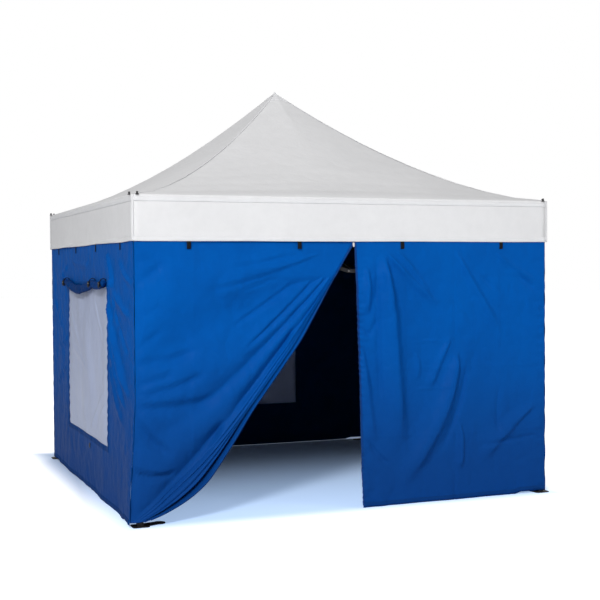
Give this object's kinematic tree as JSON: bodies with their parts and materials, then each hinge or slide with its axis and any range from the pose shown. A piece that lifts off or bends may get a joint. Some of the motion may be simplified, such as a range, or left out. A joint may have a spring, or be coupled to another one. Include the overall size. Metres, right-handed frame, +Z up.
{
  "type": "pop-up canopy",
  "caption": "Pop-up canopy with a folding square scissor frame, telescopic legs, a peaked roof with a valance, and hanging walls with windows and a zipped door.",
  "frame": {"origin": "on the ground, under the roof's peak", "axes": "+Z up, +X to the right along the front wall, -Y out of the front (the zipped door)"},
  "size_m": [3.032, 3.032, 2.98],
  "materials": {
    "roof_cloth": "coated polyester, satin",
    "wall_cloth": "coated nylon, shiny",
    "zip_tape": "woven tape",
    "pull_cord": "matte",
    "lock_button": "brushed",
    "inner_leg_tube": "graphite powder coat",
    "leg_tube": "graphite powder coat",
    "mast_tube": "satin",
    "black_plastic": "matte",
    "truss_bar": "graphite powder coat",
    "bracket_plastic": "matte"
  },
  "bodies": {
    "hub": {"upper_hub": "bracket_plastic", "roof_canopy": "roof_cloth"},
    "mast": {"lower_hub": "bracket_plastic", "mast": "mast_tube"},
    "peak_cap": {"peak_cap": "black_plastic"},
    "arm_high_front": {"arm_high_front": "truss_bar"},
    "arm_low_front": {"arm_low_front": "truss_bar"},
    "mid_upper_front": {"mid_upper_front": "bracket_plastic"},
    "mid_lower_front": {"mid_lower_front": "bracket_plastic"},
    "arm_high_right": {"arm_high_right": "truss_bar"},
    "arm_low_right": {"arm_low_right": "truss_bar"},
    "mid_upper_right": {"mid_upper_right": "bracket_plastic"},
    "mid_lower_right": {"mid_lower_right": "bracket_plastic"},
    "arm_high_back": {"arm_high_back": "truss_bar"},
    "arm_low_back": {"arm_low_back": "truss_bar"},
    "mid_upper_back": {"mid_upper_back": "bracket_plastic"},
    "mid_lower_back": {"mid_lower_back": "bracket_plastic"},
    "arm_high_left": {"arm_high_left": "truss_bar"},
    "arm_low_left": {"arm_low_left": "truss_bar"},
    "mid_upper_left": {"mid_upper_left": "bracket_plastic"},
    "mid_lower_left": {"mid_lower_left": "bracket_plastic"},
    "truss_high_front_left": {"truss_high_front_left": "truss_bar"},
    "truss_low_front_left": {"truss_low_front_left": "truss_bar"},
    "truss_high_front_right": {"truss_high_front_right": "truss_bar"},
    "truss_low_front_right": {"truss_low_front_right": "truss_bar"},
    "truss_high_right_left": {"truss_high_right_left": "truss_bar"},
    "truss_low_right_left": {"truss_low_right_left": "truss_bar"},
    "truss_high_right_right": {"truss_high_right_right": "truss_bar"},
    "truss_low_right_right": {"truss_low_right_right": "truss_bar"},
    "truss_high_back_left": {"truss_high_back_left": "truss_bar"},
    "truss_low_back_left": {"truss_low_back_left": "truss_bar"},
    "truss_high_back_right": {"truss_high_back_right": "truss_bar"},
    "truss_low_back_right": {"truss_low_back_right": "truss_bar"},
    "truss_high_left_left": {"truss_high_left_left": "truss_bar"},
    "truss_low_left_left": {"truss_low_left_left": "truss_bar"},
    "truss_high_left_right": {"truss_high_left_right": "truss_bar"},
    "truss_low_left_right": {"truss_low_left_right": "truss_bar"},
    "leg_front_left": {"leg_front_left": "leg_tube", "front_wall_door": "wall_cloth"},
    "slider_front_left": {"slider_front_left": "bracket_plastic"},
    "inner_leg_front_left": {"inner_leg_front_left": "inner_leg_tube"},
    "lock_buttons_front_left": {"lock_buttons_front_left": "lock_button"},
    "leg_front_right": {"leg_front_right": "leg_tube", "front_wall_right": "wall_cloth"},
    "slider_front_right": {"slider_front_right": "bracket_plastic"},
    "inner_leg_front_right": {"inner_leg_front_right": "inner_leg_tube"},
    "lock_buttons_front_right": {"lock_buttons_front_right": "lock_button"},
    "leg_back_right": {"leg_back_right": "leg_tube", "right_wall": "wall_cloth"},
    "slider_back_right": {"slider_back_right": "bracket_plastic"},
    "inner_leg_back_right": {"inner_leg_back_right": "inner_leg_tube"},
    "lock_buttons_back_right": {"lock_buttons_back_right": "lock_button"},
    "leg_back_left": {"leg_back_left": "leg_tube", "back_wall": "wall_cloth", "left_wall": "wall_cloth"},
    "slider_back_left": {"slider_back_left": "bracket_plastic"},
    "inner_leg_back_left": {"inner_leg_back_left": "inner_leg_tube"},
    "lock_buttons_back_left": {"lock_buttons_back_left": "lock_button"},
    "door_edge": {"door_zip_edge": "zip_tape"},
    "zip_pull": {"zip_pull": "pull_cord"}
  },
  "joints": [
    {"name": "frame_fold", "type": "hinge", "parent": "hub", "child": "arm_high_front", "pos_m": [0, -0.038, 1.99], "axis": [1, 0, 0], "range_deg": [0, 68], "deforming": ["roof_canopy", "front_wall_right", "front_wall_door", "right_wall", "back_wall", "left_wall"]},
    {"name": "arm_cross_front", "type": "hinge", "parent": "arm_high_front", "child": "arm_low_front", "pos_m": [0, -0.735, 1.79046], "axis": [1, 0, 0], "range_deg": [-139, 3]},
    {"name": "mid_lower_front_hinge", "type": "hinge", "parent": "arm_high_front", "child": "mid_lower_front", "pos_m": [0, -1.432, 1.59092], "axis": [1, 0, 0], "range_deg": [-69.5, 1.5]},
    {"name": "mid_upper_front_hinge", "type": "hinge", "parent": "arm_low_front", "child": "mid_upper_front", "pos_m": [0, -1.432, 1.99], "axis": [1, 0, 0], "range_deg": [-1.5, 69.5]},
    {"name": "lower_hub_hinge", "type": "hinge", "parent": "arm_low_front", "child": "mast", "pos_m": [0, -0.038, 1.59092], "axis": [1, 0, 0], "range_deg": [-1.5, 69.5]},
    {"name": "truss_high_front_left_hinge", "type": "hinge", "parent": "mid_lower_front", "child": "truss_high_front_left", "pos_m": [-0.03, -1.462, 1.59092], "axis": [0, 1, 0], "range_deg": [-1.5, 69.5]},
    {"name": "truss_low_front_left_hinge", "type": "hinge", "parent": "mid_upper_front", "child": "truss_low_front_left", "pos_m": [-0.03, -1.462, 1.99], "axis": [0, -1, 0], "range_deg": [-1.5, 69.5]},
    {"name": "leg_front_left_hinge", "type": "hinge", "parent": "truss_high_front_left", "child": "leg_front_left", "pos_m": [-1.424, -1.462, 1.99], "axis": [0, 1, 0], "range_deg": [-69.5, 1.5]},
    {"name": "slider_front_left_hinge", "type": "hinge", "parent": "truss_low_front_left", "child": "slider_front_left", "pos_m": [-1.424, -1.462, 1.59092], "axis": [0, -1, 0], "range_deg": [-69.5, 1.5]},
    {"name": "truss_high_front_right_hinge", "type": "hinge", "parent": "mid_lower_front", "child": "truss_high_front_right", "pos_m": [0.03, -1.462, 1.59092], "axis": [0, -1, 0], "range_deg": [-1.5, 69.5]},
    {"name": "truss_low_front_right_hinge", "type": "hinge", "parent": "mid_upper_front", "child": "truss_low_front_right", "pos_m": [0.03, -1.462, 1.99], "axis": [0, 1, 0], "range_deg": [-1.5, 69.5]},
    {"name": "leg_front_right_hinge", "type": "hinge", "parent": "truss_high_front_right", "child": "leg_front_right", "pos_m": [1.424, -1.462, 1.99], "axis": [0, -1, 0], "range_deg": [-69.5, 1.5]},
    {"name": "slider_front_right_hinge", "type": "hinge", "parent": "truss_low_front_right", "child": "slider_front_right", "pos_m": [1.424, -1.462, 1.59092], "axis": [0, 1, 0], "range_deg": [-69.5, 1.5]},
    {"name": "arm_high_right_hinge", "type": "hinge", "parent": "hub", "child": "arm_high_right", "pos_m": [0.038, 0, 1.99], "axis": [0, 1, 0], "range_deg": [-1.5, 69.5]},
    {"name": "arm_cross_right", "type": "hinge", "parent": "arm_high_right", "child": "arm_low_right", "pos_m": [0.735, 0, 1.79046], "axis": [0, 1, 0], "range_deg": [-139, 3]},
    {"name": "mid_lower_right_hinge", "type": "hinge", "parent": "arm_high_right", "child": "mid_lower_right", "pos_m": [1.432, 0, 1.59092], "axis": [0, 1, 0], "range_deg": [-69.5, 1.5]},
    {"name": "mid_upper_right_hinge", "type": "hinge", "parent": "arm_low_right", "child": "mid_upper_right", "pos_m": [1.432, 0, 1.99], "axis": [0, 1, 0], "range_deg": [-1.5, 69.5]},
    {"name": "truss_high_right_left_hinge", "type": "hinge", "parent": "mid_lower_right", "child": "truss_high_right_left", "pos_m": [1.462, -0.03, 1.59092], "axis": [-1, 0, 0], "range_deg": [-1.5, 69.5]},
    {"name": "truss_low_right_left_hinge", "type": "hinge", "parent": "mid_upper_right", "child": "truss_low_right_left", "pos_m": [1.462, -0.03, 1.99], "axis": [1, 0, 0], "range_deg": [-1.5, 69.5]},
    {"name": "truss_high_right_right_hinge", "type": "hinge", "parent": "mid_lower_right", "child": "truss_high_right_right", "pos_m": [1.462, 0.03, 1.59092], "axis": [1, 0, 0], "range_deg": [-1.5, 69.5]},
    {"name": "truss_low_right_right_hinge", "type": "hinge", "parent": "mid_upper_right", "child": "truss_low_right_right", "pos_m": [1.462, 0.03, 1.99], "axis": [-1, 0, 0], "range_deg": [-1.5, 69.5]},
    {"name": "arm_high_back_hinge", "type": "hinge", "parent": "hub", "child": "arm_high_back", "pos_m": [0, 0.038, 1.99], "axis": [-1, 0, 0], "range_deg": [-1.5, 69.5]},
    {"name": "arm_cross_back", "type": "hinge", "parent": "arm_high_back", "child": "arm_low_back", "pos_m": [0, 0.735, 1.79046], "axis": [-1, 0, 0], "range_deg": [-139, 3]},
    {"name": "mid_lower_back_hinge", "type": "hinge", "parent": "arm_high_back", "child": "mid_lower_back", "pos_m": [0, 1.432, 1.59092], "axis": [-1, 0, 0], "range_deg": [-69.5, 1.5]},
    {"name": "mid_upper_back_hinge", "type": "hinge", "parent": "arm_low_back", "child": "mid_upper_back", "pos_m": [0, 1.432, 1.99], "axis": [-1, 0, 0], "range_deg": [-1.5, 69.5]},
    {"name": "truss_high_back_left_hinge", "type": "hinge", "parent": "mid_lower_back", "child": "truss_high_back_left", "pos_m": [0.03, 1.462, 1.59092], "axis": [0, -1, 0], "range_deg": [-1.5, 69.5]},
    {"name": "truss_low_back_left_hinge", "type": "hinge", "parent": "mid_upper_back", "child": "truss_low_back_left", "pos_m": [0.03, 1.462, 1.99], "axis": [0, 1, 0], "range_deg": [-1.5, 69.5]},
    {"name": "leg_back_right_hinge", "type": "hinge", "parent": "truss_high_back_left", "child": "leg_back_right", "pos_m": [1.424, 1.462, 1.99], "axis": [0, -1, 0], "range_deg": [-69.5, 1.5]},
    {"name": "slider_back_right_hinge", "type": "hinge", "parent": "truss_low_back_left", "child": "slider_back_right", "pos_m": [1.424, 1.462, 1.59092], "axis": [0, 1, 0], "range_deg": [-69.5, 1.5]},
    {"name": "truss_high_back_right_hinge", "type": "hinge", "parent": "mid_lower_back", "child": "truss_high_back_right", "pos_m": [-0.03, 1.462, 1.59092], "axis": [0, 1, 0], "range_deg": [-1.5, 69.5]},
    {"name": "truss_low_back_right_hinge", "type": "hinge", "parent": "mid_upper_back", "child": "truss_low_back_right", "pos_m": [-0.03, 1.462, 1.99], "axis": [0, -1, 0], "range_deg": [-1.5, 69.5]},
    {"name": "leg_back_left_hinge", "type": "hinge", "parent": "truss_high_back_right", "child": "leg_back_left", "pos_m": [-1.424, 1.462, 1.99], "axis": [0, 1, 0], "range_deg": [-69.5, 1.5]},
    {"name": "slider_back_left_hinge", "type": "hinge", "parent": "truss_low_back_right", "child": "slider_back_left", "pos_m": [-1.424, 1.462, 1.59092], "axis": [0, -1, 0], "range_deg": [-69.5, 1.5]},
    {"name": "arm_high_left_hinge", "type": "hinge", "parent": "hub", "child": "arm_high_left", "pos_m": [-0.038, 0, 1.99], "axis": [0, -1, 0], "range_deg": [-1.5, 69.5]},
    {"name": "arm_cross_left", "type": "hinge", "parent": "arm_high_left", "child": "arm_low_left", "pos_m": [-0.735, 0, 1.79046], "axis": [0, -1, 0], "range_deg": [-139, 3]},
    {"name": "mid_lower_left_hinge", "type": "hinge", "parent": "arm_high_left", "child": "mid_lower_left", "pos_m": [-1.432, 0, 1.59092], "axis": [0, -1, 0], "range_deg": [-69.5, 1.5]},
    {"name": "mid_upper_left_hinge", "type": "hinge", "parent": "arm_low_left", "child": "mid_upper_left", "pos_m": [-1.432, 0, 1.99], "axis": [0, -1, 0], "range_deg": [-1.5, 69.5]},
    {"name": "truss_high_left_left_hinge", "type": "hinge", "parent": "mid_lower_left", "child": "truss_high_left_left", "pos_m": [-1.462, 0.03, 1.59092], "axis": [1, 0, 0], "range_deg": [-1.5, 69.5]},
    {"name": "truss_low_left_left_hinge", "type": "hinge", "parent": "mid_upper_left", "child": "truss_low_left_left", "pos_m": [-1.462, 0.03, 1.99], "axis": [-1, 0, 0], "range_deg": [-1.5, 69.5]},
    {"name": "truss_high_left_right_hinge", "type": "hinge", "parent": "mid_lower_left", "child": "truss_high_left_right", "pos_m": [-1.462, -0.03, 1.59092], "axis": [-1, 0, 0], "range_deg": [-1.5, 69.5]},
    {"name": "truss_low_left_right_hinge", "type": "hinge", "parent": "mid_upper_left", "child": "truss_low_left_right", "pos_m": [-1.462, -0.03, 1.99], "axis": [1, 0, 0], "range_deg": [-1.5, 69.5]},
    {"name": "leg_height_front_left", "type": "slide", "parent": "leg_front_left", "child": "inner_leg_front_left", "axis": [0, 0, 1], "range_m": [0, 0.44], "stiffness_N_per_m": 100, "springref_m": -1.8},
    {"name": "lock_press_front_left", "type": "slide", "parent": "leg_front_left", "child": "lock_buttons_front_left", "axis": [0, 1, 0], "range_m": [0, 0.004], "stiffness_N_per_m": 800},
    {"name": "leg_height_front_right", "type": "slide", "parent": "leg_front_right", "child": "inner_leg_front_right", "axis": [0, 0, 1], "range_m": [0, 0.44], "stiffness_N_per_m": 100, "springref_m": -1.8},
    {"name": "lock_press_front_right", "type": "slide", "parent": "leg_front_right", "child": "lock_buttons_front_right", "axis": [-1, 0, 0], "range_m": [0, 0.004], "stiffness_N_per_m": 800},
    {"name": "leg_height_back_right", "type": "slide", "parent": "leg_back_right", "child": "inner_leg_back_right", "axis": [0, 0, 1], "range_m": [0, 0.44], "stiffness_N_per_m": 100, "springref_m": -1.8},
    {"name": "lock_press_back_right", "type": "slide", "parent": "leg_back_right", "child": "lock_buttons_back_right", "axis": [0, -1, 0], "range_m": [0, 0.004], "stiffness_N_per_m": 800},
    {"name": "leg_height_back_left", "type": "slide", "parent": "leg_back_left", "child": "inner_leg_back_left", "axis": [0, 0, 1], "range_m": [0, 0.44], "stiffness_N_per_m": 100, "springref_m": -1.8},
    {"name": "lock_press_back_left", "type": "slide", "parent": "leg_back_left", "child": "lock_buttons_back_left", "axis": [1, 0, 0], "range_m": [0, 0.004], "stiffness_N_per_m": 800},
    {"name": "cap_slide", "type": "slide", "parent": "mast", "child": "peak_cap", "axis": [0, 0, 1], "range_m": [-0.04, 0], "stiffness_N_per_m": 1500},
    {"name": "door_swing", "type": "hinge", "parent": "mid_upper_front", "child": "door_edge", "pos_m": [0, -1.4922, 1.782], "axis": [0, -1, 0], "range_deg": [0, 32.5]},
    {"name": "zip_slide", "type": "slide", "parent": "mid_upper_front", "child": "zip_pull", "axis": [0, 0, -1], "range_m": [-0.02, 1.7]}
  ],
  "couplings": [
    {"joint": "arm_cross_front", "follows": "frame_fold", "ratio": -2},
    {"joint": "mid_lower_front_hinge", "follows": "frame_fold", "ratio": -1},
    {"joint": "mid_upper_front_hinge", "follows": "frame_fold", "ratio": 1},
    {"joint": "lower_hub_hinge", "follows": "frame_fold", "ratio": 1},
    {"joint": "truss_high_front_left_hinge", "follows": "frame_fold", "ratio": 1},
    {"joint": "truss_low_front_left_hinge", "follows": "frame_fold", "ratio": 1},
    {"joint": "leg_front_left_hinge", "follows": "frame_fold", "ratio": -1},
    {"joint": "slider_front_left_hinge", "follows": "frame_fold", "ratio": -1},
    {"joint": "truss_high_front_right_hinge", "follows": "frame_fold", "ratio": 1},
    {"joint": "truss_low_front_right_hinge", "follows": "frame_fold", "ratio": 1},
    {"joint": "leg_front_right_hinge", "follows": "frame_fold", "ratio": -1},
    {"joint": "slider_front_right_hinge", "follows": "frame_fold", "ratio": -1},
    {"joint": "arm_high_right_hinge", "follows": "frame_fold", "ratio": 1},
    {"joint": "arm_cross_right", "follows": "frame_fold", "ratio": -2},
    {"joint": "mid_lower_right_hinge", "follows": "frame_fold", "ratio": -1},
    {"joint": "mid_upper_right_hinge", "follows": "frame_fold", "ratio": 1},
    {"joint": "truss_high_right_left_hinge", "follows": "frame_fold", "ratio": 1},
    {"joint": "truss_low_right_left_hinge", "follows": "frame_fold", "ratio": 1},
    {"joint": "truss_high_right_right_hinge", "follows": "frame_fold", "ratio": 1},
    {"joint": "truss_low_right_right_hinge", "follows": "frame_fold", "ratio": 1},
    {"joint": "arm_high_back_hinge", "follows": "frame_fold", "ratio": 1},
    {"joint": "arm_cross_back", "follows": "frame_fold", "ratio": -2},
    {"joint": "mid_lower_back_hinge", "follows": "frame_fold", "ratio": -1},
    {"joint": "mid_upper_back_hinge", "follows": "frame_fold", "ratio": 1},
    {"joint": "truss_high_back_left_hinge", "follows": "frame_fold", "ratio": 1},
    {"joint": "truss_low_back_left_hinge", "follows": "frame_fold", "ratio": 1},
    {"joint": "leg_back_right_hinge", "follows": "frame_fold", "ratio": -1},
    {"joint": "slider_back_right_hinge", "follows": "frame_fold", "ratio": -1},
    {"joint": "truss_high_back_right_hinge", "follows": "frame_fold", "ratio": 1},
    {"joint": "truss_low_back_right_hinge", "follows": "frame_fold", "ratio": 1},
    {"joint": "leg_back_left_hinge", "follows": "frame_fold", "ratio": -1},
    {"joint": "slider_back_left_hinge", "follows": "frame_fold", "ratio": -1},
    {"joint": "arm_high_left_hinge", "follows": "frame_fold", "ratio": 1},
    {"joint": "arm_cross_left", "follows": "frame_fold", "ratio": -2},
    {"joint": "mid_lower_left_hinge", "follows": "frame_fold", "ratio": -1},
    {"joint": "mid_upper_left_hinge", "follows": "frame_fold", "ratio": 1},
    {"joint": "truss_high_left_left_hinge", "follows": "frame_fold", "ratio": 1},
    {"joint": "truss_low_left_left_hinge", "follows": "frame_fold", "ratio": 1},
    {"joint": "truss_high_left_right_hinge", "follows": "frame_fold", "ratio": 1},
    {"joint": "truss_low_left_right_hinge", "follows": "frame_fold", "ratio": 1},
    {"joint": "zip_slide", "follows": "door_swing", "m_per_rad": 2.9618}
  ]
}
